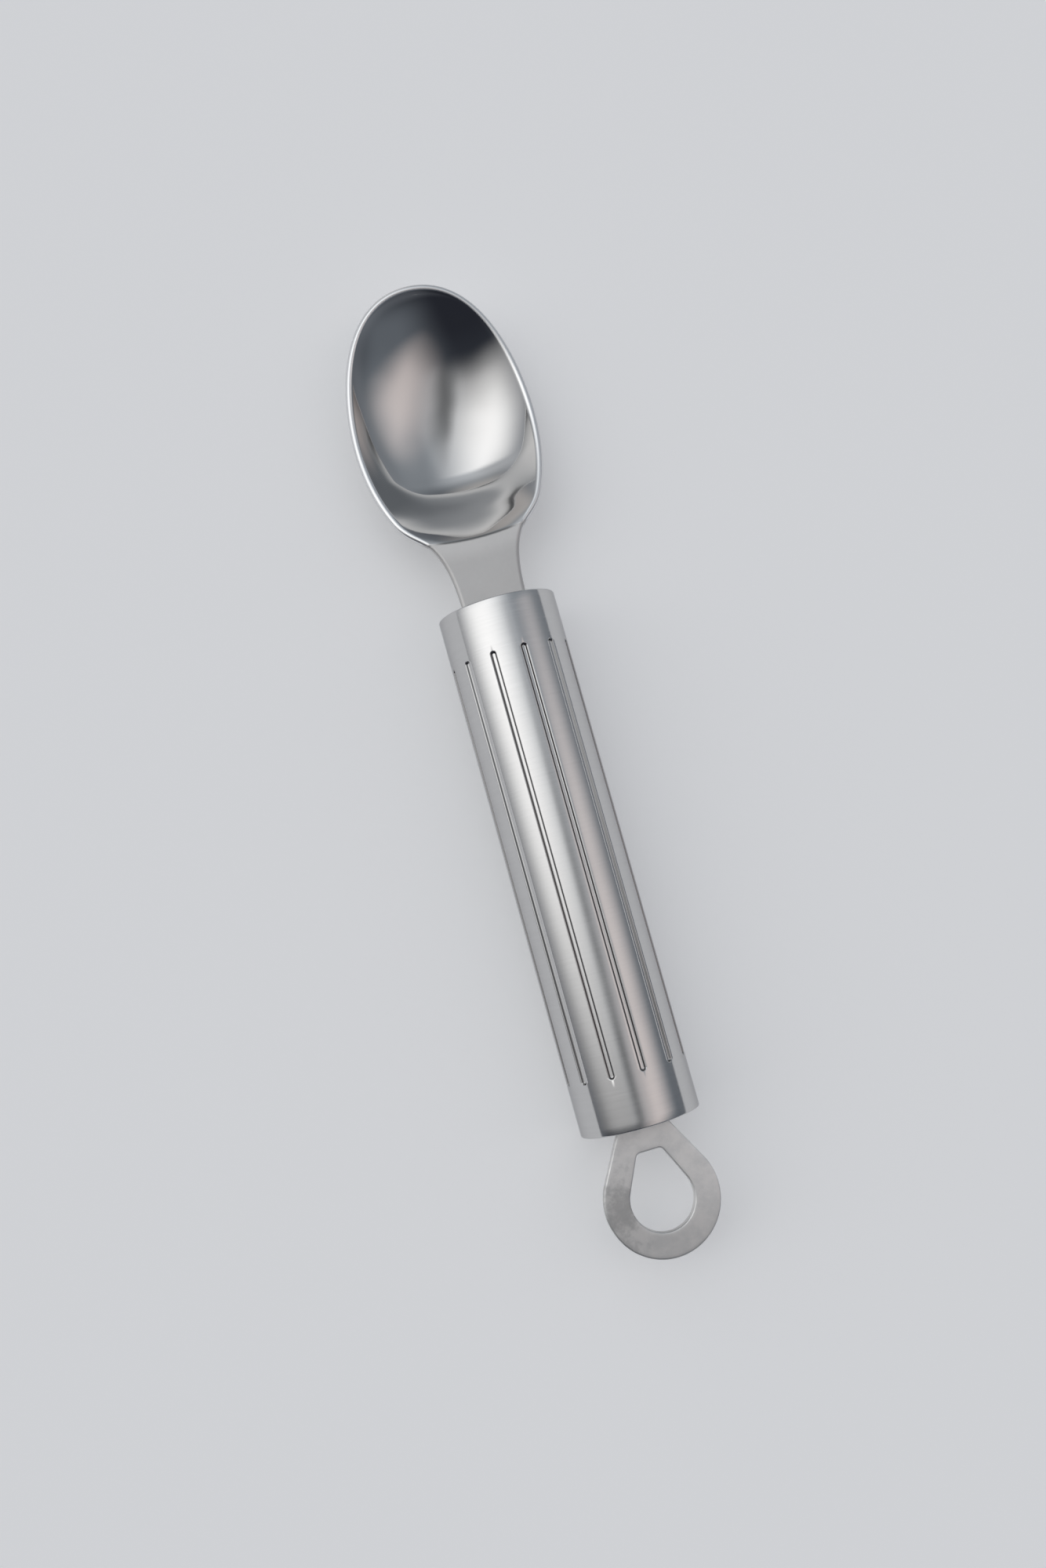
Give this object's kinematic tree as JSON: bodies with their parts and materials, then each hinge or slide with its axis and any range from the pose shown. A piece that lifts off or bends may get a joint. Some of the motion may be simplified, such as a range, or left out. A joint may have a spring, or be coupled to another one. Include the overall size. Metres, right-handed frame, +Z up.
{
  "type": "ice cream scoop",
  "caption": "All-steel ice cream scoop: a polished stamped bowl on a flat neck, a round tube handle with pressed lengthwise grooves and a teardrop hanging loop.",
  "frame": {"origin": "middle of the bounding box in plan, on the surface that the scoop lies on", "axes": "+Y along the tube's axis towards the bowl, +Z up out of the bowl's open side, +X to the right"},
  "size_m": [0.0398, 0.2104, 0.025],
  "materials": {
    "polished_steel": "polished bowl with a fine satin neck",
    "satin_steel": "satin, brushed around the tube",
    "matt_steel": "matt, tumbled",
    "core_polymer": "moulded, not visible",
    "pin_steel": "plain, not visible"
  },
  "bodies": {
    "root": {"scoop_blade": "polished_steel", "handle_tube": "satin_steel", "hang_loop": "matt_steel", "front_end_disc": "satin_steel", "rear_end_disc": "satin_steel", "front_core_upper": "core_polymer", "front_core_lower": "core_polymer", "rear_core_upper": "core_polymer", "rear_core_lower": "core_polymer", "front_pin_outer": "pin_steel", "front_pin_inner": "pin_steel", "rear_pin_outer": "pin_steel", "rear_pin_inner": "pin_steel"}
  },
  "joints": []
}
